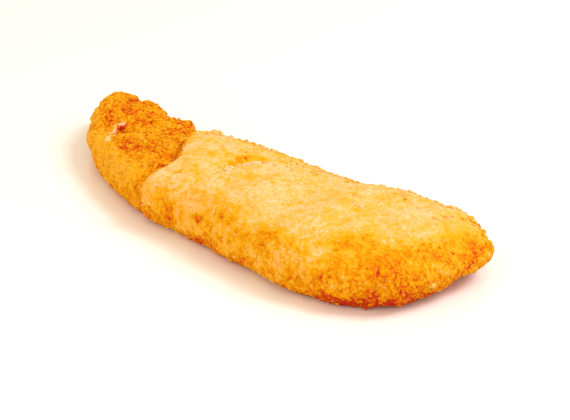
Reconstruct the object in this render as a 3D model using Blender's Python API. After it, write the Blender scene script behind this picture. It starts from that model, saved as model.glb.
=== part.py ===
"""A breaded pollock fillet, fried golden, lying flat: one solid.

The fillet lies along X: the thin tail at -X, the broad head end at +X, the full belly edge at -Y
and the straighter back edge at +Y. It is modelled in millimetres as a skin drawn round a row of
cross-sections, then given its creases, hollows and lumps, set down flat and scaled to metres.
"""

import math

import bmesh
import bpy
from mathutils import Vector, noise

MM = 0.001

# Driving dimensions, in millimetres
LENGTH = 206.0
WIDTH = 77.0
THICKNESS = 24.0
TAIL_X = -104.5
HEAD_X = TAIL_X + LENGTH

# Fineness of the skin before it is thinned
STATIONS = 210
POINTS_AROUND = 136
SOLID_TRIANGLES = 10500

# The outline seen from above, as (x, y) places along each long edge
BELLY_EDGE = (
    (-105, 15), (-97, 8), (-86, -6), (-75, -15), (-61, -22.7), (-36, -31.3), (-14, -35), (7, -36.3),
    (15, -35.8), (24, -36.6), (36, -37), (60, -37.8), (77, -33.7), (88, -26.5), (95, -20.5), (102, -13),
)
BACK_EDGE = (
    (-105, 27), (-90, 27.3), (-74, 25.5), (-58, 24), (-44, 22), (-24, 24), (0, 26), (20, 25.7),
    (32, 27), (42, 31), (53, 35), (62, 38.7), (78, 40), (88, 34.5), (95, 30), (102, 25),
)
TAIL_TIP_Y = 21.0
HEAD_TIP_Y = 18.0

# How far from each tip the outline and the thickness reach their full size
TAIL_BELLY_ROUND = 14.0
TAIL_BACK_ROUND = 9.0
HEAD_BELLY_ROUND = 9.0
HEAD_BACK_ROUND = 4.0
TAIL_TOP_ROUND = 13.0
HEAD_TOP_ROUND = 13.0
TAIL_UNDER_ROUND = 16.0
HEAD_UNDER_ROUND = 20.0

# Heights: the crest along the fillet before the step down to the tail, the widest girth, how far each
# end curls up, how far the underside is drawn below the surface, and where the relief reaches full depth
CREST = ((-105, 18.5), (-80, 20), (-40, 22), (-10, 23), (25, 23.5), (60, 22.5), (85, 20), (102, 15))
GIRTH_HEIGHT = 7.0
HEAD_LIFT = 3.6
HEAD_LIFT_START = 75.0
TAIL_LIFT = 3.8
TAIL_LIFT_START = -50.0
UNDERSIDE_SINK = 4.0
RELIEF_HEIGHT = 4.4

# The fullness of the cross-section: 1 is an ellipse, and smaller is squarer
BELLY_FULLNESS = ((-100, 0.9), (-50, 0.74))
BACK_FULLNESS = 0.92
CREST_FULLNESS = 0.86

# The crease across the fillet as (y, x) places, where the thick body ends in a shoulder above the tail
CREASE = (
    (-37, -20.5), (-32, -21), (-28, -20), (-24, -18.5), (-19, -20), (-13.5, -22.5), (-8, -27), (-1.5, -32.5),
    (9, -39), (16, -44), (30, -55),
)
CREASE_SLANT = 0.6
TAIL_DROP = 3.0
TAIL_BACK_RISE = 1.5
TAIL_BACK_START = 2.0
TAIL_BACK_END = 30.0
SHOULDER_REACH = 3.2
SHOULDER_SWELL = 1.1
SWELL_REACH = 30.0
CREASE_DEPTH = 1.7
CREASE_HALF_WIDTH = 2.0

# The sunken middle of the tail, and the raised rims round it
TAIL_HOLLOW = (-58, 0)
TAIL_HOLLOW_REACH = (17, 10)
TAIL_HOLLOW_DEPTH = 2.6
TAIL_PIT = (-65, -6)
TAIL_PIT_REACH = (5, 3)
TAIL_PIT_DEPTH = 2.2
TAIL_RIM = (-84, 2)
TAIL_RIM_REACH = (12, 13)
TAIL_RIM_RISE = 1.0

# Lumps, and notches where the rise is below 0, round the edges of the tail, as (x, y, reach, rise)
TAIL_LUMPS = (
    (-97, 14, 6, 1.0), (-85, 24, 4, -1.6), (-78, 23, 5, 1.4), (-64, 22, 4.5, -2.4), (-60, 19, 3, -1.6),
    (-55, 21, 4, 2.2), (-49, 19, 4, 1.0), (-89, -5, 5, -1.6),
)

# Broad swells and hollows on the body, as (x, y, reach in x, reach in y, rise)
BODY_SWELLS = (
    (-12, -8, 16, 20, 0.8), (27, -14, 11, 14, 1.0), (54, -9, 12, 16, 0.9), (80, 12, 12, 14, 0.6),
    (12, 22, 14, 7, 0.8), (41, 0, 7, 24, -1.4), (70, 20, 6, 12, -0.8), (8, -33, 10, 6, -0.9),
    (-16, -30, 9, 8, 1.2), (48, -36, 9, 7, 0.9), (68, -32, 8, 8, -0.7), (-34, 18, 4, 6, 1.8),
    (-27, 20, 4, 6, -2.2), (96, 10, 5, 5, -1.6), (-37, 13, 4, 5, -2.8),
)

# Narrow cracks in the crust, as (start, end, half width, depth)
CRACKS = (
    ((3, -14), (5, -5), 1.8, 1.6),
    ((5, -5), (9, 3), 1.8, 1.4),
    ((-25, -36), (-10, -37), 1.8, 1.6),
    ((-67, -11), (-68, -4), 1.7, 1.6),
)

# The crust's uneven surface: clumps of crumb, coarser and deeper over the tail and along the edges
CLUMP_SIZE = 6.5
CLUMP_RISE = 0.55
COARSE_CLUMP_SIZE = 3.8
COARSE_CLUMP_RISE = 0.75
COARSE_FADE = 8.0
WAVE_SIZE = 24.0
WAVE_RISE = 0.7

CRUST_COLOUR = (0.80, 0.42, 0.09, 1.0)
CRUST_ROUGHNESS = 0.75


def smooth_step(value):
    """0 below 0, 1 above 1, and a smooth rise between."""
    value = min(1.0, max(0.0, value))
    return value * value * (3 - 2 * value)


def along(x, places):
    """The smooth curve through (x, value) places, read at x."""
    if x <= places[0][0]:
        return places[0][1]
    if x >= places[-1][0]:
        return places[-1][1]
    last = len(places) - 1
    i = next(k for k in range(last) if x <= places[k + 1][0])
    (x0, v0), (x1, v1) = places[i], places[i + 1]
    before, after = places[max(i - 1, 0)], places[min(i + 2, last)]
    slope0 = (v1 - before[1]) / (x1 - before[0])
    slope1 = (after[1] - v0) / (after[0] - x0)
    span = x1 - x0
    t = (x - x0) / span
    rise = (3 - 2 * t) * t * t
    return (
        v0 + (v1 - v0) * rise + span * t * (1 - t) * (slope0 * (1 - t) - slope1 * t)
    )


def rounded_end(distance, reach):
    """A quarter-circle rise from 0 at the tip to 1 at the given reach from it."""
    t = min(1.0, max(0.0, distance / reach))
    return math.sqrt(1 - (1 - t) ** 2)


def ends(x, tail_reach, head_reach):
    """The rounding of both tips together."""
    return rounded_end(x - TAIL_X, tail_reach) * rounded_end(HEAD_X - x, head_reach)


def plan_edges(x):
    """The belly edge and the back edge at x."""
    middle = TAIL_TIP_Y if x < 0 else HEAD_TIP_Y
    belly = ends(x, TAIL_BELLY_ROUND, HEAD_BELLY_ROUND)
    back = ends(x, TAIL_BACK_ROUND, HEAD_BACK_ROUND)
    return (
        middle + (along(x, BELLY_EDGE) - middle) * belly,
        middle + (along(x, BACK_EDGE) - middle) * back,
    )


def past_crease(x, y):
    """The distance from the crease towards the head."""
    return (x - along(y, CREASE)) / math.hypot(1, CREASE_SLANT)


def shoulder(past):
    """The body's rise past the crease: steep at first, then levelling off at 1."""
    return 1 - math.exp(-max(past, 0) / SHOULDER_REACH)


def crest_height(x, y):
    """The height of the crest, with the shoulder above the tail."""
    step = shoulder(past_crease(x, y))
    back = smooth_step((y - TAIL_BACK_START) / (TAIL_BACK_END - TAIL_BACK_START))
    return along(x, CREST) - (TAIL_DROP - TAIL_BACK_RISE * back) * (1 - step)


def lift(x):
    """How far both ends curl up from the surface."""
    head = smooth_step((x - HEAD_LIFT_START) / (HEAD_X - HEAD_LIFT_START))
    tail = smooth_step((TAIL_LIFT_START - x) / (TAIL_LIFT_START - TAIL_X))
    return HEAD_LIFT * head + TAIL_LIFT * tail


def section_point(x, angle):
    """The skin at x, at an angle of 0 on the back edge, a quarter turn on top and a half on the belly."""
    belly, back = plan_edges(x)
    across = math.cos(angle)
    upward = math.sin(angle)
    fullness = along(x, BELLY_FULLNESS) if across < 0 else BACK_FULLNESS
    spread = math.copysign(abs(across) ** fullness, across)
    y = (belly + back) / 2 + spread * (back - belly) / 2
    girth = GIRTH_HEIGHT + lift(x)
    if upward > 0:
        thick = (crest_height(x, y) - girth) * ends(x, TAIL_TOP_ROUND, HEAD_TOP_ROUND)
    else:
        thick = -(GIRTH_HEIGHT + UNDERSIDE_SINK) * ends(x, TAIL_UNDER_ROUND, HEAD_UNDER_ROUND)
    z = girth + thick * abs(upward) ** CREST_FULLNESS
    return Vector((x, y, z))


def mound(x, y, place, reach):
    """A round swelling of height 1 over a place, with its reach in x and in y."""
    return math.exp(-(((x - place[0]) / reach[0]) ** 2) - ((y - place[1]) / reach[1]) ** 2)


def tail_relief(x, y):
    """The hollow, its pit and rim, and the lumps and notches round the edges of the tail."""
    height = TAIL_RIM_RISE * mound(x, y, TAIL_RIM, TAIL_RIM_REACH)
    height -= TAIL_HOLLOW_DEPTH * mound(x, y, TAIL_HOLLOW, TAIL_HOLLOW_REACH)
    height -= TAIL_PIT_DEPTH * mound(x, y, TAIL_PIT, TAIL_PIT_REACH)
    for lump_x, lump_y, reach, rise in TAIL_LUMPS:
        height += rise * mound(x, y, (lump_x, lump_y), (reach, reach))
    return height * smooth_step(-past_crease(x, y) / CREASE_HALF_WIDTH)


def body_relief(x, y):
    """The shoulder's swell, and the broad swells and hollows of the body."""
    past = past_crease(x, y)
    height = SHOULDER_SWELL * shoulder(past) * math.exp(-abs(past) / SWELL_REACH)
    for swell_x, swell_y, reach_x, reach_y, rise in BODY_SWELLS:
        height += rise * mound(x, y, (swell_x, swell_y), (reach_x, reach_y))
    return height


def crease_relief(x, y):
    """The groove of the crease itself."""
    return -CREASE_DEPTH * math.exp(-((past_crease(x, y) / CREASE_HALF_WIDTH) ** 2))


def crack_relief(x, y):
    """The narrow cracks, each fading at its ends."""
    height = 0.0
    for start, end, half_width, depth in CRACKS:
        run = Vector(end) - Vector(start)
        share = (Vector((x, y)) - Vector(start)).dot(run) / run.length_squared
        nearest = Vector(start) + run * min(1.0, max(0.0, share))
        gap = (Vector((x, y)) - nearest).length
        height -= depth * math.exp(-((gap / half_width) ** 2))
    return height


def clump_relief(point):
    """Clumps of crumb, coarse over the tail and fine over the body, on slow waves."""
    tail = smooth_step(-past_crease(point.x, point.y) / COARSE_FADE)
    fine = noise.noise(point / CLUMP_SIZE) * CLUMP_RISE
    coarse = noise.noise(point / COARSE_CLUMP_SIZE) * COARSE_CLUMP_RISE
    waves = noise.noise(point / WAVE_SIZE) * WAVE_RISE
    return waves + fine * (1 - tail) + coarse * tail


def relief(point):
    """How far the crust stands out from the plain skin at a point."""
    x, y, z = point
    upper = smooth_step(z / RELIEF_HEIGHT)
    shaped = tail_relief(x, y) + body_relief(x, y) + crease_relief(x, y) + crack_relief(x, y)
    return shaped * upper + clump_relief(point)


def shape_skin(bm):
    """The poles of the sphere become the tips, and its circles the cross-sections."""
    for vertex in bm.verts:
        angle = math.atan2(vertex.co.y, vertex.co.x)
        x = TAIL_X + (vertex.co.z + 1) / 2 * LENGTH
        vertex.co = section_point(x, angle)
    bm.normal_update()
    for vertex in bm.verts:
        vertex.co += vertex.normal * relief(vertex.co)


def thinned(mesh):
    """The mesh with fewer triangles, where the skin is plain."""
    rough = bpy.data.objects.new("rough_fillet", mesh)
    bpy.context.scene.collection.objects.link(rough)
    thin = rough.modifiers.new("thin", "DECIMATE")
    thin.ratio = SOLID_TRIANGLES / sum(len(face.vertices) - 2 for face in mesh.polygons)
    evaluated = rough.evaluated_get(bpy.context.evaluated_depsgraph_get())
    result = bpy.data.meshes.new_from_object(evaluated)
    bpy.data.objects.remove(rough)
    bpy.data.meshes.remove(mesh)
    return result


def set_down(mesh):
    """Scale to the driving sizes, centre the footprint and press the underside flat at z = 0."""
    lows = [min(vertex.co[i] for vertex in mesh.vertices) for i in range(2)]
    highs = [max(vertex.co[i] for vertex in mesh.vertices) for i in range(2)]
    top = max(vertex.co.z for vertex in mesh.vertices)
    for vertex in mesh.vertices:
        x = (vertex.co.x - (lows[0] + highs[0]) / 2) * LENGTH / (highs[0] - lows[0])
        y = (vertex.co.y - (lows[1] + highs[1]) / 2) * WIDTH / (highs[1] - lows[1])
        z = max(vertex.co.z, 0.0) * THICKNESS / top
        vertex.co = Vector((x, y, z)) * MM


def crust_material():
    material = bpy.data.materials.new("golden_crust")
    material.use_nodes = True
    shader = material.node_tree.nodes["Principled BSDF"]
    shader.inputs["Base Color"].default_value = CRUST_COLOUR
    shader.inputs["Roughness"].default_value = CRUST_ROUGHNESS
    shader.inputs["Metallic"].default_value = 0.0
    return material


def make_fillet(collection):
    bm = bmesh.new()
    bmesh.ops.create_uvsphere(bm, u_segments=POINTS_AROUND, v_segments=STATIONS, radius=1.0)
    shape_skin(bm)
    skin = bpy.data.meshes.new("skin")
    bm.to_mesh(skin)
    bm.free()
    mesh = thinned(skin)
    set_down(mesh)
    mesh.name = "fillet"
    mesh.materials.append(crust_material())
    mesh.shade_smooth()
    fillet = bpy.data.objects.new("fillet", mesh)
    collection.objects.link(fillet)
    return fillet


def main():
    for existing in list(bpy.data.objects):
        bpy.data.objects.remove(existing)
    collection = bpy.data.collections.new("breaded_pollock_fillet")
    bpy.context.scene.collection.children.link(collection)
    make_fillet(collection)


main()
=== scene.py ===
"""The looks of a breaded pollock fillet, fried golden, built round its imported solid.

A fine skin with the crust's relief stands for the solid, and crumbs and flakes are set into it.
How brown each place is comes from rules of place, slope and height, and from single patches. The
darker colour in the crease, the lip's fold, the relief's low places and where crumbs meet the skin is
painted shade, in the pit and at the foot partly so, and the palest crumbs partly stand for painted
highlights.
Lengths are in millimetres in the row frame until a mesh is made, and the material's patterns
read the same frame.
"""

import math
from collections import namedtuple
from types import SimpleNamespace

import bmesh
import bpy
import numpy as np
from mathutils import Matrix, Vector, noise


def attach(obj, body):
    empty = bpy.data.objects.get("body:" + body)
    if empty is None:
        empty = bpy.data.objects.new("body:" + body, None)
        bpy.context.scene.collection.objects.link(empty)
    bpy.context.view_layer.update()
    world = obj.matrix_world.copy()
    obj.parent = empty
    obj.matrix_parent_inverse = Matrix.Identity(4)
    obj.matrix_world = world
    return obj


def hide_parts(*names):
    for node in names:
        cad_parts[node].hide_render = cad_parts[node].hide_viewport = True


MM = 0.001

# The fine skin. Faces on its hidden underside, up to a height, are merged to keep a share of all faces
SKIN_VOXEL = 0.53
SOFTEN_FACTOR = 0.5
SOFTEN_PASSES = 12
UNDERSIDE_HEIGHT = 0.3
KEPT_FACES = 0.68

# The noises that make borders ragged, as (size, seed)
SEAM_NOISE = (3.5, 2)
ROUGH_NOISE = (5, 3)
WALL_NOISE = (9, 4)
GOLD_NOISE = (8, 5)
TORN_NOISE = (1.6, 8)
FOLD_NOISE = (1.8, 13)

# How far each seed moves the noise, how steeply a grain falls away, and what draws each spot's strength
SEED_STEP = (17.3, 5.1, 9.7)
GRAIN_SHARPNESS = 1.6
SPOT_SHUFFLE = 40

# The crease between tail and body, as (y, x) places. It lies askew, so its cosine turns gaps along x
# into distances. The tail's colour reaches a little past it, and ends in a browner line of painted shade
# in the crease
CREASE = (
    (-37.7, -19), (-32.7, -19.5), (-28.7, -18.5), (-24.7, -17), (-19.7, -18.5), (-14.2, -21), (-8.7, -25.5),
    (-2.2, -31), (8.3, -37.5), (15.3, -42.5), (29.3, -53.5),
)
CREASE_COSINE = 0.86
SEAM_PLACE = 2.2
SEAM_FADE = 1.3
SEAM_RAGGEDNESS = 2.0
SEAM_LINE = 1.2

# The near border of the tail's rough top, as (x, y) places
ROUGH_BORDER = (
    (-96, 2), (-85, -2), (-75, -7), (-67, -11.6), (-57.5, -16.2), (-49, -20.3), (-40, -24), (-33, -25.3),
    (-15, -25),
)
ROUGH_FADE = 3.5
ROUGH_RAGGEDNESS = 2.5

# Slopes are the upward part of the normal: the steepest of the rough top, and where the walls start
ROUGH_SLOPE = -0.4
ROUGH_SLOPE_FADE = 0.5
WALL_SLOPE = 0.95
WALL_FADE = 0.6
WALL_RAGGEDNESS = 0.10

# The border in plan between the body's pale top and its golden near side and head end, as (x, y) places
GOLD_BORDER = (
    (-30, -32), (-12, -34), (4, -31), (16, -31), (30, -28), (46, -29), (60, -28), (70, -22), (82, -10),
    (92, 2), (96, 12), (97, 30),
)
GOLD_FADE = 12.0
GOLD_RAGGEDNESS = 6.0

# The shoulder of the back edge, where crumbs stand up most: the way it faces, its slope and its spread
RIDGE_FACING = np.array((0.0, 1.8, 0.0))
RIDGE_SLOPE = 0.75
RIDGE_SPREAD = 0.18

# Where regions start along the fillet and how far they take to rise, and the height where most start
HEAD_START = 50.0
HEAD_REACH = 45.0
HEAD_SIDE_START = 20.0
HEAD_SIDE_REACH = 50.0
CALM_START = 5.0
CALM_REACH = 30.0
BARE_HEIGHT = 0.4

# Torn, raised and sunken lines in the crust, as (x, y, z) places
FISSURE = ((3.5, -13, 22), (5, -9, 22), (4.7, -5, 22.4), (5.8, -2, 22.6), (7.4, 3, 22.6))
LEDGE = (
    (-22, -33, 11), (-20.5, -33.5, 8), (-17, -35, 7.5), (-12.5, -36.2, 7.3), (-8, -36.3, 5.6), (-3, -36, 4),
)
LIP_HALF_WIDTH = 0.7
LIP_FOLD = ((-13, -26.4, 20.3), (-9.2, -26.6, 20.5), (-6.4, -25.1, 20.9))
SLIT = (
    (4.2, -11.7, 21.8), (7.5, -13.2, 22.4), (8.0, -11.2, 22.4), (6.4, -7.6, 21.8), (6.8, -4.8, 21.7),
    (8.4, -3.2, 21.9), (9.9, -1.4, 21.9), (10.6, 1.2, 21.9),
)
UPPER_TEAR = (
    (-68.1, -1.8, 15.3), (-68.9, -3.6, 15), (-68.5, -5.5, 14.5), (-67, -8, 14), (-65.4, -10, 14.4),
)
LOWER_TEAR = ((-61.8, -12.4, 15.1), (-62.2, -14.4, 15), (-60.4, -16, 14.7))

# How far each line rises or sinks, as (line, half width, rise)
FOLDS = (
    (FISSURE, 1.0, -0.5),
    (SLIT, 0.7, 0.3),
    (LEDGE, 1.0, -1.0),
    (LIP_FOLD, LIP_HALF_WIDTH, -1.2),
    (UPPER_TEAR, 1.2, 0.4),
    (LOWER_TEAR, 1.0, 0.3),
)
FOLD_RAGGEDNESS = 0.9

# Where the flesh shows along the tears and the slit, its share of the colour in a tear, and how much
# of the crumb's relief it loses
TEAR_HALF_WIDTH = 0.6
SLIT_HALF_WIDTH = 0.1
TORN_RAGGEDNESS = 1.0
TORN_FADE = 0.8
TEAR_FLESH = 0.6
TORN_CALM = 0.8

# The pit in the tail's sunken middle
PIT_PLACE = (-66.0, -4.4, 13.6)
PIT_REACH = 2.2
PIT_DEPTH = 1.2

# The uneven height of the crust, as (size, seed, rise, what regions add to the rise). The fine grains
# also show in the browning
FINE_GRAINS = (1.2, 12)
LUMPS = (
    (7, 16, 0.5, {}),
    (2.6, 10, 0.12, {"wall": 0.15, "rough": 0.4}),
)
GRAINS = (
    (2.0, 11, 0.16, {"wall": 0.12, "rough": 0.35}),
    (*FINE_GRAINS, 0.24, {"wall": 0.04, "rough": 0.1, "head": 0.1}),
)

# How brown each region is: the body's pale top, and what its golden sides and the other regions add
PALE_BROWNING = 0.165
GOLD_BROWNING = 0.22
HEAD_BROWNING = 0.25
LOW_BROWNING = 0.33
HEAD_LOW_BROWNING = 0.26
TAIL_LOW_BROWNING = 0.24
LOW_HEIGHT = 11.0
# The foot's darker, redder band near the floor is partly real browning and partly painted shade of the
# contact
FOOT_BROWNING_AND_SHADE = 0.22
FOOT_HEIGHT = 4.5
TAIL_BROWNING = 0.48
ROUGH_BROWNING = 0.31

# The palest that each region can be, and the share of it that holds for crumbs
TAIL_PALEST = 0.36
ROUGH_PALEST = 0.06
WALL_PALEST = 0.20
TOP_PALEST = 0.06
CRUMB_PALEST_SHARE = 0.75

# What the crease, the pit and the lip's fold add, and what each millimetre of relief takes off, more so
# on the tail and the walls, all painted shade that makes creases, hollows and low places darker; the pit's
# also holds its own browning. Past the knee it all rises less
SEAM_PAINTED_SHADE = 0.26
PIT_BROWNING_AND_SHADE = 0.65
LIP_PAINTED_SHADE = 0.34
RELIEF_PAINTED_SHADE = 0.15
CRAG_PAINTED_SHADE = 0.3
KNEE = 0.66
KNEE_SLOPE = 0.65

# Mottling, with blotches and golden flecks as (size, seed, depth), and spots as (size, seed)
BLOTCHES = ((11, 6, 0.30), (4.5, 7, 0.26), (1.9, 9, 0.28))
FLECKS = ((5.5, 14, 1.0), (5.5 / 3, 15, 0.5))
FLECK_LEVEL = 0.1
FLECK_FADE = 0.3
FLECK_RISE = 0.17
SPOTS = (3.2, 17)
SPOT_REACH = 0.28
SPOT_LEVEL = 0.1
SPOT_RISE = 0.30
GRAIN_RISE = 0.14
HEAD_GRAIN_RISE = 0.2

# How much calmer the mottling is in each region
CALM_SHARE = 0.55
PALE_CALM_SHARE = 0.3
TAIL_CALM_SHARE = 0.2
ROUGH_CALM_SHARE = 0.25
HEAD_CALM_SHARE = 0.3

# Browner and paler places on the crust, as (x, y, z, reach, change in browning)
TAIL_PATCHES = (
    # The second and third here, on the pit's far wall, are painted shade
    (-55, -21, 13, 6, -0.12), (-68, -3, 14.5, 1.4, 0.60), (-67, -2.5, 14.5, 1.4, 0.50),
    (-74, -4.5, 15.5, 1.2, 0.40), (-50, -6, 16, 2.4, -0.14), (-48, -1, 16, 2.4, -0.14),
    (-76, -2.5, 16, 1.6, 0.40), (-78, -3.5, 16, 1.4, 0.30), (-51, -14, 16, 3, 0.14),
    (-43, -16, 17, 3, 0.14), (-48, -18, 16, 2.2, 0.20), (-39, -17, 17, 3, 0.16), (-51, 3, 16, 3, -0.24),
    (-61, 12, 16, 1.8, -0.16), (-76.5, 16.5, 17, 1.6, 0.20), (-90, 12, 17, 4.5, -0.10),
    (-33.5, -31, 11, 0.6, 0.30), (-36, -28, 13, 6, -0.16), (-52, -14, 16, 2.6, 0.20),
    (-48, -19, 16, 2.6, 0.20), (-42, -20, 17, 2.6, 0.18),
)
SEAM_PATCHES = (
    (-20.5, -23, 18, 1.4, 0.30), (-21, -30, 15, 2.4, 0.20), (-22, -27, 17, 2.2, 0.18),
    (-23.5, -33.5, 11.5, 1, 0.30), (-21, -33.5, 8.5, 1, 0.30), (-12, -24, 21, 2.4, -0.16),
    # These three, along the lip's fold, are painted shade
    (-11, -27, 20.5, 1, 0.16), (-7.5, -24.5, 21, 1.5, 0.14), (-9, -26, 20.5, 1.5, 0.14),
    (-11, -24, 21, 2.2, -0.24), (-11, -28, 20, 6, -0.20), (-12, -32, 17, 5, -0.16),
    (-4, -32, 17, 4.5, -0.24), (-13, -12, 23, 6, 0.14), (-7, -8, 24, 6, 0.10), (-26, -9, 18, 4, -0.22),
    (-41, 9, 16, 6, -0.12),
)
BODY_PATCHES = (
    (-2, -36, 11, 3, 0.16), (0, -35.5, 11, 1.6, 0.42), (0, -36, 6.5, 1.8, 0.46),
    (14.5, -35.5, 11, 1.6, 0.42), (10, -35, 4.5, 1.6, 0.40), (15, -35, 3.5, 1.6, 0.40),
    (25, -34, 16, 2, 0.20), (34, -35, 15, 4.5, 0.16), (47, -35, 15, 4.5, 0.16), (39, -36, 13, 4.5, 0.12),
    (8, -33, 15, 4, -0.16), (4, -36, 7, 3.5, 0.14), (-6.5, -10, 23.5, 1.3, 0.24), (1, -24, 21, 2.6, 0.14),
    (24, -5, 23, 2.4, 0.18), (-16.5, -7.5, 23, 1.4, 0.16), (33, -1.5, 22.5, 0.8, 0.35),
    (29, -12.5, 23.5, 0.8, 0.30), (41, -4.5, 21.5, 1.5, 0.25), (32, -26, 20, 7, -0.12),
    (52, -12, 23, 8, -0.10), (53, -26, 20, 6, 0.10), (38, 2, 21, 6, 0.10), (57, -38, 6, 5, -0.10),
    (53, 5, 22, 0.9, 0.38), (52, 12, 21, 0.9, 0.38), (38, -37, 4, 6, 0.10),
)
FISSURE_PATCHES = (
    (3.5, -5, 23, 1.8, 0.46), (4, -2, 23, 1.8, 0.46), (3.5, -8.5, 22.5, 1.6, 0.38), (6, -14, 22, 1.2, 0.36),
    (5, -7, 21.5, 1.2, 0.40), (5, 0, 22, 3, 0.38), (7, 3, 22, 3, 0.32),
)
HEAD_PATCHES = (
    (63, -28, 18, 5, -0.20), (73, -20, 19, 4, 0.18), (62.5, -5, 22, 0.8, 0.36), (89, -13, 18, 2, 0.20),
    (91, -2.5, 18.5, 0.6, 0.45), (65.5, -37, 8.5, 1.6, 0.26), (86, -24, 14, 3.5, 0.14),
    (89, -23.5, 14, 1, 0.26), (84, -30, 11, 2.4, -0.12), (99, -12, 8, 2, 0.36), (98, 16, 14, 2.2, 0.20),
    (101, 14, 12, 2, 0.22), (102, 10, 10, 1.8, 0.36), (102, 7.5, 10, 1.8, 0.28), (98, 9, 13, 3, 0.12),
    (89, 30.5, 13.5, 1.6, 0.25), (73, 26, 17, 2.4, -0.24), (89, 24, 17, 5, 0.14), (98, 22, 14, 5, 0.14),
    (84, -20, 17, 5, 0.14), (99, 6, 13, 6, -0.12), (92, -26, 8, 8, 0.10), (97, -17, 9, 7, 0.12),
    (100, 14, 12, 5, 0.12), (64, -1, 22, 9, 0.14), (75, -18, 19, 5, 0.18), (96, 12, 14, 6, 0.12),
    (99, 2, 14, 5, 0.10), (92, 18, 17, 7, 0.14), (79, -31, 12, 5, 0.14), (95, -22, 9, 4, 0.16),
    (90, -26, 7, 2, 0.20),
)
PATCHES = TAIL_PATCHES + SEAM_PATCHES + BODY_PATCHES + FISSURE_PATCHES + HEAD_PATCHES

# The colours of the crust from pale to burnt, as (browning, red, green, blue) in linear light
CRUST_COLOURS = (
    (0.00, 0.84, 0.56, 0.31),
    (0.15, 0.84, 0.465, 0.148),
    (0.33, 0.81, 0.41, 0.034),
    (0.50, 0.765, 0.365, 0.006),
    (0.65, 0.72, 0.30, 0.002),
    (0.80, 0.67, 0.20, 0.002),
    (0.92, 0.63, 0.11, 0.004),
    (1.00, 0.50, 0.032, 0.007),
)
FLESH_COLOUR = (0.88, 0.65, 0.44, 1.0)

# Crumbs set into the skin. Each kind's shapes are rough balls of radius about 1, and each crumb's stretch
# and tilt vary a little. Most sizes are near the least. Below a height in the ball, crumbs turn browner
# towards their roots, as painted shade where they meet the skin
CRUMB_SHAPES = 12
CRUMB_SEED = 20
CRUMB_RADII = (0.65, 1.15)
CRUMB_STRETCH = (0.8, 1.2)
CRUMB_TILT = 0.25
SIZE_POWER = 2
ROOT_PAINTED_SHADE = 0.4
ROOT_HEIGHT = 0.45

# The kinds of crumb. detail: 1 for 20 faces, 2 for 80; sizes: least and most; stretch: along, across and
# up; sink: the share below the skin; weights: how thickly they lie in each region; tones: least and most
# change in browning; flesh: the flesh's share of the colour, which whitens the glints as a painted
# highlight
CrumbKind = namedtuple("CrumbKind", "name count detail sizes stretch sink weights tones flesh")
CRUMB_KINDS = (
    CrumbKind("crumbs_fine", 9500, 1, (0.7, 1.3), (1.1, 1.0, 0.7), 0.62,
              {"top": 0.05, "wall": 1.0, "rough": 0.9, "head": 0.5}, (-0.14, 0.0), 0.0),
    CrumbKind("crumbs_coarse", 2400, 2, (1.2, 2.2), (1.1, 1.0, 0.75), 0.62,
              {"top": 0.02, "wall": 0.5, "rough": 1.7, "tail": 0.7, "ridge": 0.4}, (-0.26, -0.04), 0.0),
    CrumbKind("crumbs_edge", 800, 2, (1.0, 2.2), (1.1, 1.0, 0.8), 0.44,
              {"ridge": 1.0, "tail": 0.08}, (-0.04, 0.08), 0.0),
    CrumbKind("crumbs_browned", 400, 2, (0.7, 1.2), (1.2, 0.9, 0.6), 0.6,
              {"wall": 0.1, "rough": 1.0, "foot": 0.9}, (0.04, 0.16), 0.0),
    # Pale crumbs, partly real and partly standing for painted glints, thickest on the head's side
    CrumbKind("pale_crumbs_and_glints", 3000, 1, (0.4, 0.8), (1.1, 0.9, 0.8), 0.4,
              {"top": 0.1, "wall": 0.3, "head_side": 1.0, "head": 0.6}, (-0.3, -0.1), 0.0),
    # Painted highlights: tiny pale crumbs, whitened with the flesh colour, stand for glints
    CrumbKind("painted_glints", 240, 1, (0.4, 0.7), (1.1, 0.9, 0.8), 0.4,
              {"wall": 0.4, "rough": 0.3, "head_side": 1.0, "head": 0.4}, (-0.5, -0.3), 0.6),
    CrumbKind("flakes", 40, 1, (1.2, 2.4), (1.6, 0.6, 0.5), 0.3, {"slit": 1.0}, (-0.9, -0.8), 1.0),
)

# The material's fine patterns, with scales in cells a metre, and its sheen
SPECKLE_SCALE = 950
SPECKLE_MIDDLE = 0.45
SPECKLE_DEPTH = 0.32
GRIT_SCALE = 2200
GRIT_DETAIL = 2
GRIT_STRENGTH = 0.22
GRIT_HEIGHT = 0.3
LEAST_ROUGHNESS = 0.45
MOST_ROUGHNESS = 0.75
SPECULAR = 0.03

# The camera of the photograph
AZIMUTH = 44.0
ELEVATION = 25.4
ROLL = 1.03
LENS = 85.0
SENSOR = 36.0
LOOK_AT = (13.3, 10.7, 0.0)
IMAGE_WIDTH = 570
PIXELS_PER_MM = 2.6
CLIP_START = 0.01
CLIP_END = 20

# The lamps and the surround. turn: degrees round from the camera, anticlockwise from above; distance and
# size in metres
Lamp = namedtuple("Lamp", "name turn elevation distance power colour")
LAMP_SIZE = 0.7
LAMPS = (
    Lamp("key", 99.0, 48.0, 1.6, 15.9, (1.0, 1.0, 1.0)),
    Lamp("fill", -45.0, 20.0, 1.0, 3.5, (1.0, 0.92, 0.68)),
    Lamp("bounce", 55.0, 18.0, 1.0, 1.4, (1.0, 0.86, 0.78)),
)
SURROUND_COLOUR = (1.0, 0.85, 0.62, 1)
SURROUND_STRENGTH = 0.92

# The floor: its size in metres, and how far it lies under the part, so that the two don't touch
FLOOR_SIZE = 6
FLOOR_DROP = 0.1
FLOOR_COLOUR = (0.94, 0.935, 1.0, 1)
FLOOR_ROUGHNESS = 0.2
FLOOR_SPECULAR = 0.5


def smooth_step(value):
    """0 below 0, 1 above 1, and a smooth rise between."""
    value = np.clip(value, 0.0, 1.0)
    return value * value * (3 - 2 * value)


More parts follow.
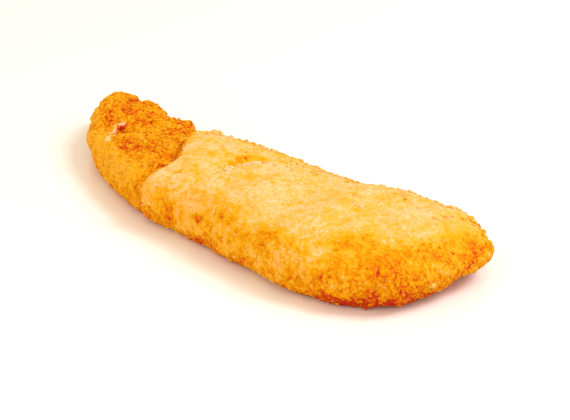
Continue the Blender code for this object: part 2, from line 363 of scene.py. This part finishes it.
def hill(distance):
    """1 at no distance, falling away smoothly to 0."""
    return np.exp(-(distance ** 2))


def seed_offset(seed):
    """A place in the noise that no other seed has."""
    return Vector([seed * step for step in SEED_STEP])


def perlin(points, size, seed):
    """Smooth noise from about -1 to 1 with features of the given size."""
    offset = seed_offset(seed)
    return np.array([noise.noise(Vector(point) / size + offset) for point in points])


def layered(points, layers):
    """The sum of smooth noises, each given as size, seed and depth."""
    return sum(depth * perlin(points, size, seed) for size, seed, depth in layers)


def grains(points, size, seed):
    """Rounded bumps from 0 to 1, one for each cell of the given size."""
    offset = seed_offset(seed)
    nearest = np.array([noise.voronoi(Vector(point) / size + offset)[0][0] for point in points])
    return np.clip(1 - nearest * nearest * GRAIN_SHARPNESS, 0, 1)


def spots(points, size, seed):
    """Small round spots from 0 to 1, no two the same strength, one for each cell of the given size."""
    offset = seed_offset(seed)
    strengths = np.empty(len(points))
    for number, point in enumerate(points):
        gaps, centres = noise.voronoi(Vector(point) / size + offset)
        strengths[number] = hill(gaps[0] / SPOT_REACH) * noise.cell(centres[0] * SPOT_SHUFFLE)
    return strengths


def path_distance(points, path):
    """The distance from each point to a path of straight runs."""
    nearest = np.full(len(points), np.inf)
    for start, end in zip(path[:-1], path[1:]):
        start = np.array(start, float)
        run = np.array(end, float) - start
        share = np.clip((points - start) @ run / (run @ run), 0, 1)
        gap = np.linalg.norm(points - start - share[:, None] * run, axis=1)
        nearest = np.minimum(nearest, gap)
    return nearest


def place_distance(points, place):
    """The distance from each point to one place."""
    return np.linalg.norm(points - np.array(place, float), axis=1)


def past_crease(points):
    """The distance from the crease towards the head."""
    places = np.array(CREASE)
    return (points[:, 0] - np.interp(points[:, 1], places[:, 0], places[:, 1])) * CREASE_COSINE


def tail_share(points):
    """1 on the tail and 0 on the body."""
    ragged = past_crease(points) + SEAM_RAGGEDNESS * perlin(points, *SEAM_NOISE)
    return smooth_step(0.5 - (ragged - SEAM_PLACE) / SEAM_FADE)


def rough_share(points, normals):
    """1 on the tail's rough, dark top and 0 elsewhere."""
    places = np.array(ROUGH_BORDER)
    border = np.interp(points[:, 0], places[:, 0], places[:, 1])
    past_border = points[:, 1] - border + ROUGH_RAGGEDNESS * perlin(points, *ROUGH_NOISE)
    facing_up = smooth_step((normals[:, 2] - ROUGH_SLOPE) / ROUGH_SLOPE_FADE)
    return smooth_step(past_border / ROUGH_FADE + 0.5) * facing_up


def wall_share(points, normals):
    """0 on the broad top and 1 on the side walls and the underside."""
    slope = normals[:, 2] + WALL_RAGGEDNESS * perlin(points, *WALL_NOISE)
    return smooth_step((WALL_SLOPE - slope) / WALL_FADE)


def gold_share(points):
    """0 on the body's pale top and 1 past its golden border."""
    places = np.array(GOLD_BORDER, float)
    plan = points[:, :2] + GOLD_RAGGEDNESS * perlin(points, *GOLD_NOISE)[:, None]
    outside = plan[:, 1] < np.interp(plan[:, 0], places[:, 0], places[:, 1])
    outside |= plan[:, 0] > places[-1, 0]
    gap = path_distance(plan, GOLD_BORDER)
    return smooth_step(0.5 + np.where(outside, gap, -gap) / GOLD_FADE)


def torn_share(points, lines, half_width):
    """1 along torn lines, where the fish under the crust shows, and 0 elsewhere."""
    gap = np.min([path_distance(points, line) for line in lines], axis=0)
    gap = gap + TORN_RAGGEDNESS * perlin(points, *TORN_NOISE)
    return 1 - smooth_step((gap - half_width) / TORN_FADE)


def survey(points, normals):
    """How far each place belongs to each region of the crust, from 0 to 1, and how pale it can be.

    Most regions that carry crumbs leave out the underside, the pit and the tears.
    """
    tail = tail_share(points)
    wall = wall_share(points, normals)
    golden = np.maximum(wall, gold_share(points))
    rough = rough_share(points, normals) * tail
    torn = torn_share(points, (UPPER_TEAR, LOWER_TEAR), TEAR_HALF_WIDTH)
    slit = torn_share(points, (SLIT,), SLIT_HALF_WIDTH)
    pit = hill(place_distance(points, PIT_PLACE) / PIT_REACH)
    clear = (points[:, 2] > BARE_HEIGHT) * (1 - torn) * (1 - pit)
    shoulder = hill((normals[:, 2] - RIDGE_SLOPE) / RIDGE_SPREAD)
    added_palest = np.maximum(TAIL_PALEST * tail + ROUGH_PALEST * rough, WALL_PALEST * wall)
    return {
        "tail": tail,
        "wall": wall * clear,
        "golden": golden,
        "rough": rough * clear,
        "top": (1 - wall) * (1 - rough) * clear,
        "pale": (1 - golden) * (1 - tail),
        "foot": clear * smooth_step((FOOT_HEIGHT - points[:, 2]) / FOOT_HEIGHT),
        "low": smooth_step((LOW_HEIGHT - points[:, 2]) / LOW_HEIGHT),
        "ridge": clear * shoulder * smooth_step(normals @ RIDGE_FACING),
        "head_side": wall * clear * smooth_step((points[:, 0] - HEAD_SIDE_START) / HEAD_SIDE_REACH),
        "head": golden * smooth_step((points[:, 0] - HEAD_START) / HEAD_REACH),
        "calm": (1 - golden) * (1 - tail) * smooth_step((points[:, 0] - CALM_START) / CALM_REACH),
        "torn": np.maximum(TEAR_FLESH * torn, slit),
        "slit": slit,
        "palest": TOP_PALEST + added_palest,
    }


def mottling(points, site):
    """Uneven browning from blotches, golden flecks, grains and spots, calmer in some regions."""
    strength = 1 - CALM_SHARE * site["calm"] - HEAD_CALM_SHARE * site["head"]
    strength -= TAIL_CALM_SHARE * site["tail"] + ROUGH_CALM_SHARE * site["rough"]
    strength -= PALE_CALM_SHARE * (site["pale"] - site["calm"])
    uneven = layered(points, BLOTCHES)
    uneven += FLECK_RISE * smooth_step((layered(points, FLECKS) - FLECK_LEVEL) / FLECK_FADE)
    uneven += (GRAIN_RISE + HEAD_GRAIN_RISE * site["head"]) * (0.5 - grains(points, *FINE_GRAINS))
    return strength * uneven + SPOT_RISE * (spots(points, *SPOTS) - SPOT_LEVEL) * (1 - site["tail"])


def browning(points, site, relief):
    """How brown the crust is, from 0 where it is pale to 1 where it is burnt, with painted shade added in
    the crease, the pit, the lip's fold, the relief's low places and, in part, at the foot.
    """
    body = PALE_BROWNING + GOLD_BROWNING * site["golden"] + HEAD_BROWNING * site["head"]
    body += site["low"] * (LOW_BROWNING + HEAD_LOW_BROWNING * site["head"])
    tail = TAIL_BROWNING + ROUGH_BROWNING * site["rough"] + TAIL_LOW_BROWNING * site["low"]
    mixed = body + (tail - body) * site["tail"] + FOOT_BROWNING_AND_SHADE * site["foot"] + mottling(points, site)
    for x, y, z, reach, change in PATCHES:
        mixed += change * hill(place_distance(points, (x, y, z)) / reach)
    # Painted shade: a browner line in the crease
    mixed += SEAM_PAINTED_SHADE * hill((past_crease(points) - SEAM_PLACE + SEAM_LINE) / SEAM_LINE)
    # The pit: darker and redder, its own browning with painted shade in the hollow
    mixed += PIT_BROWNING_AND_SHADE * hill(place_distance(points, PIT_PLACE) / PIT_REACH)
    # Painted shade: a browner line along the lip's fold
    mixed += LIP_PAINTED_SHADE * hill(path_distance(points, LIP_FOLD) / LIP_HALF_WIDTH)
    # Painted shade: low places of the relief browner and high ones paler
    mixed -= (RELIEF_PAINTED_SHADE + CRAG_PAINTED_SHADE * np.maximum(site["tail"], site["wall"])) * relief
    mixed -= (1 - KNEE_SLOPE) * np.maximum(mixed - KNEE, 0)
    return np.maximum(mixed, site["palest"])


def rise_at(site, rise, added):
    """A rise at each place, with what the regions there add to it."""
    for region, more in added.items():
        rise = rise + more * site[region]
    return rise


def crumb_relief(points, site):
    """The crust's uneven height: soft lumps with grains on them, coarse on the tail's rough top."""
    height = np.zeros(len(points))
    for size, seed, rise, added in LUMPS:
        height += rise_at(site, rise, added) * perlin(points, size, seed)
    for size, seed, rise, added in GRAINS:
        height += rise_at(site, rise, added) * (grains(points, size, seed) - 0.5)
    return height * (1 - TORN_CALM * site["torn"])


def fold_relief(points):
    """The torn, sunken and raised lines, with ragged borders, and the pit."""
    ragged = points + FOLD_RAGGEDNESS * perlin(points, *FOLD_NOISE)[:, None]
    height = -PIT_DEPTH * hill(place_distance(ragged, PIT_PLACE) / PIT_REACH)
    for path, half_width, rise in FOLDS:
        height += rise * hill(path_distance(ragged, path) / half_width)
    return height


def read_mesh(mesh):
    """A mesh's points in millimetres and its normals, as arrays."""
    points = np.empty(len(mesh.vertices) * 3)
    mesh.vertices.foreach_get("co", points)
    normals = np.empty(len(mesh.vertices) * 3)
    mesh.vertex_normals.foreach_get("vector", normals)
    return points.reshape(-1, 3) / MM, normals.reshape(-1, 3)


def read_triangles(mesh):
    """A mesh's triangles as an array of corner numbers."""
    mesh.calc_loop_triangles()
    corners = np.empty(len(mesh.loop_triangles) * 3, int)
    mesh.loop_triangles.foreach_get("vertices", corners)
    return corners.reshape(-1, 3)


def write_values(mesh, name, values):
    """A number at each of the mesh's points, for the material to read by name."""
    attribute = mesh.attributes.new(name, "FLOAT", "POINT")
    attribute.data.foreach_set("value", np.asarray(values, np.float32))


def show_mesh(name, mesh, material):
    """An object with the mesh and its one material, in the scene."""
    mesh.materials.clear()
    mesh.materials.append(material)
    mesh.name = name
    piece = bpy.data.objects.new(name, mesh)
    bpy.context.scene.collection.objects.link(piece)
    return piece


def evaluated_mesh(piece):
    """A new mesh of the object with its modifiers applied."""
    return bpy.data.meshes.new_from_object(piece.evaluated_get(bpy.context.evaluated_depsgraph_get()))


def fine_skin(node):
    """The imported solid's mesh, made fine and even, with its facets smoothed out."""
    coarse = bpy.data.objects.new("coarse_skin", node.data.copy())
    bpy.context.scene.collection.objects.link(coarse)
    even = coarse.modifiers.new("even", "REMESH")
    even.mode = "VOXEL"
    even.voxel_size = SKIN_VOXEL * MM
    soft = coarse.modifiers.new("soft", "SMOOTH")
    soft.factor = SOFTEN_FACTOR
    soft.iterations = SOFTEN_PASSES
    mesh = evaluated_mesh(coarse)
    bpy.data.objects.remove(coarse)
    return mesh


def thin_underside(mesh):
    """The mesh with fewer faces on its hidden flat underside."""
    skin = bpy.data.objects.new("thinned_skin", mesh)
    bpy.context.scene.collection.objects.link(skin)
    points, _ = read_mesh(mesh)
    under = skin.vertex_groups.new(name="under")
    under.add(np.flatnonzero(points[:, 2] < UNDERSIDE_HEIGHT).tolist(), 1.0, "REPLACE")
    thinner = skin.modifiers.new("thinner", "DECIMATE")
    thinner.vertex_group = under.name
    thinner.ratio = KEPT_FACES
    thinned = evaluated_mesh(skin)
    bpy.data.objects.remove(skin)
    return thinned


def make_crust(node, material):
    """The crust's own skin, and what the crumbs need to know of it."""
    mesh = thin_underside(fine_skin(node))
    points, normals = read_mesh(mesh)
    site = survey(points, normals)
    relief = crumb_relief(points, site)
    brown = browning(points, site, relief)
    write_values(mesh, "browning", brown)
    write_values(mesh, "flesh", site["torn"])
    points = points + normals * (relief + fold_relief(points))[:, None]
    points[:, 2] = np.maximum(points[:, 2], 0)
    mesh.vertices.foreach_set("co", (points * MM).ravel())
    mesh.update()
    mesh.shade_smooth()
    _, normals = read_mesh(mesh)
    corners = read_triangles(mesh)
    skin = SimpleNamespace(points=points, normals=normals, corners=corners, site=site, browning=brown)
    return show_mesh("crust", mesh, material), skin


def crumb_shape(rng, detail):
    """A small rough ball, as corner and triangle arrays."""
    ball = bmesh.new()
    bmesh.ops.create_icosphere(ball, subdivisions=detail, radius=1)
    places = np.array([vertex.co[:] for vertex in ball.verts])
    triangles = np.array([[vertex.index for vertex in face.verts] for face in ball.faces])
    ball.free()
    return places * rng.uniform(*CRUMB_RADII, size=(len(places), 1)), triangles


def scatter(skin, rng, count, weights):
    """Random places on the skin, thicker in the weighted regions, with what the skin is like there."""
    weight = sum(factor * skin.site[region] for region, factor in weights.items())
    first, second, third = (skin.points[skin.corners[:, number]] for number in range(3))
    doubled_area = np.linalg.norm(np.cross(second - first, third - first), axis=1)
    share = doubled_area * weight[skin.corners].mean(axis=1)
    chosen = rng.choice(len(skin.corners), count, p=share / share.sum())
    out = np.sqrt(rng.random(count))[:, None]
    along = rng.random(count)[:, None]
    places = first[chosen] * (1 - out) + second[chosen] * out * (1 - along) + third[chosen] * out * along
    facing = skin.normals[skin.corners[chosen]].mean(axis=1)
    facing /= np.linalg.norm(facing, axis=1)[:, None]
    nearest = skin.corners[chosen, 0]
    return places, facing, skin.browning[nearest], skin.site["palest"][nearest]


def crumb_axes(normals, rng):
    """Three axes for each crumb: the last is near the skin's normal, and the others spin at random."""
    up = normals + rng.normal(scale=CRUMB_TILT, size=normals.shape)
    up /= np.linalg.norm(up, axis=1)[:, None]
    side = np.cross(up, rng.normal(size=normals.shape))
    side /= np.linalg.norm(side, axis=1)[:, None]
    return np.stack([side, np.cross(up, side), up], axis=1)


def place_crumbs(kind, skin, rng):
    """Each crumb's sizes, axes, middle, browning and the number of its shape."""
    places, facing, brown, palest = scatter(skin, rng, kind.count, kind.weights)
    brown = np.maximum(brown + rng.uniform(*kind.tones, size=kind.count), CRUMB_PALEST_SHARE * palest)
    least, most = kind.sizes
    size = least + (most - least) * rng.random(kind.count) ** SIZE_POWER
    stretch = np.array(kind.stretch) * rng.uniform(*CRUMB_STRETCH, size=(kind.count, 3)) * size[:, None]
    axes = crumb_axes(facing, rng)
    centres = places + facing * (stretch[:, 2] * (0.5 - kind.sink))[:, None]
    shape_of = rng.integers(CRUMB_SHAPES, size=kind.count)
    return SimpleNamespace(sizes=stretch, axes=axes, centres=centres, browning=brown, shape_of=shape_of)


def join_crumbs(shapes, crumbs):
    """The corners, triangles and browning of all the crumbs together, with painted shade where each meets
    the skin.
    """
    all_places, all_triangles, all_browns = [], [], []
    start = 0
    for number, (corners, triangles) in enumerate(shapes):
        chosen = np.flatnonzero(crumbs.shape_of == number)
        local = corners[None] * crumbs.sizes[chosen, None] / 2
        world = np.einsum("nvi,nij->nvj", local, crumbs.axes[chosen]) + crumbs.centres[chosen, None]
        all_places.append(world.reshape(-1, 3))
        starts = start + np.arange(len(chosen)) * len(corners)
        all_triangles.append((triangles[None] + starts[:, None, None]).reshape(-1, 3))
        # Painted shade: each crumb turns browner and redder towards its root, where it meets the skin
        root_shade = 1 + ROOT_PAINTED_SHADE * np.maximum(ROOT_HEIGHT - corners[:, 2], 0)
        all_browns.append(np.outer(crumbs.browning[chosen], root_shade).ravel())
        start += len(chosen) * len(corners)
    return np.concatenate(all_places), np.concatenate(all_triangles), np.concatenate(all_browns)


def make_crumbs(kind, skin, material, seed):
    """One mesh of many crumbs of a kind, set into the skin."""
    rng = np.random.default_rng(seed)
    shapes = [crumb_shape(rng, kind.detail) for _ in range(CRUMB_SHAPES)]
    points, triangles, browns = join_crumbs(shapes, place_crumbs(kind, skin, rng))
    points[:, 2] = np.maximum(points[:, 2], 0)
    mesh = bpy.data.meshes.new(kind.name)
    mesh.from_pydata((points * MM).tolist(), [], triangles.tolist())
    mesh.shade_smooth()
    write_values(mesh, "browning", browns)
    write_values(mesh, "flesh", np.full(len(points), kind.flesh))
    return show_mesh(kind.name, mesh, material)


def add_node(tree, kind, **settings):
    """A new node of a kind in the tree, with its settings."""
    made = tree.nodes.new(kind)
    for name, value in settings.items():
        setattr(made, name, value)
    return made


def speckled_browning(tree, place):
    """The browning at each place, with fine speckles that follow the part's own frame."""
    shade = add_node(tree, "ShaderNodeAttribute", attribute_name="browning")
    speckle = add_node(tree, "ShaderNodeTexVoronoi")
    speckle.inputs["Scale"].default_value = SPECKLE_SCALE
    tree.links.new(place.outputs["Object"], speckle.inputs["Vector"])
    centred = add_node(tree, "ShaderNodeMath", operation="SUBTRACT")
    centred.inputs[1].default_value = SPECKLE_MIDDLE
    tree.links.new(speckle.outputs["Distance"], centred.inputs[0])
    level = add_node(tree, "ShaderNodeMath", operation="MULTIPLY_ADD")
    level.inputs[1].default_value = SPECKLE_DEPTH
    tree.links.new(centred.outputs[0], level.inputs[0])
    tree.links.new(shade.outputs["Fac"], level.inputs[2])
    return level.outputs[0]


def browned_colour(tree, level):
    """The crust's colour for a level of browning."""
    ramp = add_node(tree, "ShaderNodeValToRGB")
    stops = ramp.color_ramp.elements
    while len(stops) < len(CRUST_COLOURS):
        stops.new(0.5)
    for stop, (position, red, green, blue) in zip(stops, CRUST_COLOURS):
        stop.position = position
        stop.color = (red, green, blue, 1)
    tree.links.new(level, ramp.inputs["Fac"])
    return ramp.outputs["Color"]


def crust_colour(tree, place):
    """The speckled colour of the browned crust, with pale flesh where it is torn."""
    crumb = browned_colour(tree, speckled_browning(tree, place))
    torn = add_node(tree, "ShaderNodeAttribute", attribute_name="flesh")
    mix = add_node(tree, "ShaderNodeMix", data_type="RGBA")
    mix.inputs["B"].default_value = FLESH_COLOUR
    tree.links.new(torn.outputs["Fac"], mix.inputs["Factor"])
    tree.links.new(crumb, mix.inputs["A"])
    return mix.outputs["Result"]


def rough_up(tree, place, shader):
    """A fine grit in the surface, as a bump and as uneven roughness."""
    grit = add_node(tree, "ShaderNodeTexNoise")
    grit.inputs["Scale"].default_value = GRIT_SCALE
    grit.inputs["Detail"].default_value = GRIT_DETAIL
    tree.links.new(place.outputs["Object"], grit.inputs["Vector"])
    bump = add_node(tree, "ShaderNodeBump")
    bump.inputs["Strength"].default_value = GRIT_STRENGTH
    bump.inputs["Distance"].default_value = GRIT_HEIGHT * MM
    tree.links.new(grit.outputs["Fac"], bump.inputs["Height"])
    tree.links.new(bump.outputs["Normal"], shader.inputs["Normal"])
    gloss = add_node(tree, "ShaderNodeMapRange")
    gloss.inputs["To Min"].default_value = LEAST_ROUGHNESS
    gloss.inputs["To Max"].default_value = MOST_ROUGHNESS
    tree.links.new(grit.outputs["Fac"], gloss.inputs["Value"])
    tree.links.new(gloss.outputs["Result"], shader.inputs["Roughness"])


def crust_material():
    """The fried crust: browning, with painted shade and highlights in it, for its colour, and a fine grit
    in its surface.
    """
    material = bpy.data.materials.new("fried_crumb")
    material.use_nodes = True
    tree = material.node_tree
    shader = tree.nodes["Principled BSDF"]
    place = add_node(tree, "ShaderNodeTexCoord")
    tree.links.new(crust_colour(tree, place), shader.inputs["Base Color"])
    rough_up(tree, place, shader)
    shader.inputs["Specular IOR Level"].default_value = SPECULAR
    return material


def dress(node):
    """The crust with its crumbs and flakes, all riding on the part's one body."""
    material = crust_material()
    crust, skin = make_crust(node, material)
    pieces = [crust]
    for number, kind in enumerate(CRUMB_KINDS):
        pieces.append(make_crumbs(kind, skin, material, CRUMB_SEED + number))
    for piece in pieces:
        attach(piece, "root")
    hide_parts("fillet")


def towards(azimuth, elevation):
    """The direction from the object to a viewer at these angles, in degrees."""
    turn = math.radians(azimuth)
    rise = math.radians(elevation)
    return Vector((math.sin(turn) * math.cos(rise), -math.cos(turn) * math.cos(rise), math.sin(rise)))


def make_camera():
    """The photograph's view, in its own scale, with a slight roll."""
    camera = bpy.data.objects.new("camera", bpy.data.cameras.new("camera"))
    bpy.context.scene.collection.objects.link(camera)
    camera.data.lens = LENS
    camera.data.sensor_width = SENSOR
    camera.data.clip_start = CLIP_START
    camera.data.clip_end = CLIP_END
    back = towards(AZIMUTH, ELEVATION)
    distance = IMAGE_WIDTH / SENSOR * LENS / PIXELS_PER_MM
    camera.location = (Vector(LOOK_AT) + back * distance) * MM
    level = (-back).to_track_quat("-Z", "Y").to_matrix()
    camera.rotation_euler = (level @ Matrix.Rotation(math.radians(ROLL), 3, "Z")).to_euler()
    bpy.context.scene.camera = camera


def make_lamp(lamp):
    """A soft square lamp aimed at the fillet."""
    light = bpy.data.lights.new(lamp.name, "AREA")
    light.size = LAMP_SIZE
    light.energy = lamp.power
    light.color = lamp.colour
    stand = bpy.data.objects.new(lamp.name, light)
    bpy.context.scene.collection.objects.link(stand)
    back = towards(AZIMUTH + lamp.turn, lamp.elevation)
    stand.location = back * lamp.distance
    stand.rotation_euler = (-back).to_track_quat("-Z", "Y").to_euler()


def floor_material():
    """A plain pale glaze."""
    paint = bpy.data.materials.new("pale_floor")
    paint.use_nodes = True
    shader = paint.node_tree.nodes["Principled BSDF"]
    shader.inputs["Base Color"].default_value = FLOOR_COLOUR
    shader.inputs["Roughness"].default_value = FLOOR_ROUGHNESS
    shader.inputs["Specular IOR Level"].default_value = FLOOR_SPECULAR
    return paint


def make_studio():
    """A plain pale floor, a warm surround and soft lamps, the brightest from the right, a bit behind."""
    bpy.ops.mesh.primitive_plane_add(size=FLOOR_SIZE, location=(0, 0, -FLOOR_DROP * MM))
    floor = bpy.context.object
    floor.name = "floor"
    floor.data.materials.append(floor_material())
    world = bpy.data.worlds.new("surround")
    world.use_nodes = True
    background = world.node_tree.nodes["Background"]
    background.inputs["Color"].default_value = SURROUND_COLOUR
    background.inputs["Strength"].default_value = SURROUND_STRENGTH
    bpy.context.scene.world = world
    for lamp in LAMPS:
        make_lamp(lamp)
    bpy.context.scene.view_settings.view_transform = "Standard"


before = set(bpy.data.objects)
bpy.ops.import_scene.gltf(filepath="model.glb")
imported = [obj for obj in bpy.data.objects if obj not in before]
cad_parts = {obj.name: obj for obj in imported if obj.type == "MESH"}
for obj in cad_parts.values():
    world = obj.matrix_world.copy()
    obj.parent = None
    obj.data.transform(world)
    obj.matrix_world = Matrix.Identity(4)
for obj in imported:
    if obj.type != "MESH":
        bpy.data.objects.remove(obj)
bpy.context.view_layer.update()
make_camera()
make_studio()
dress(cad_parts["fillet"])
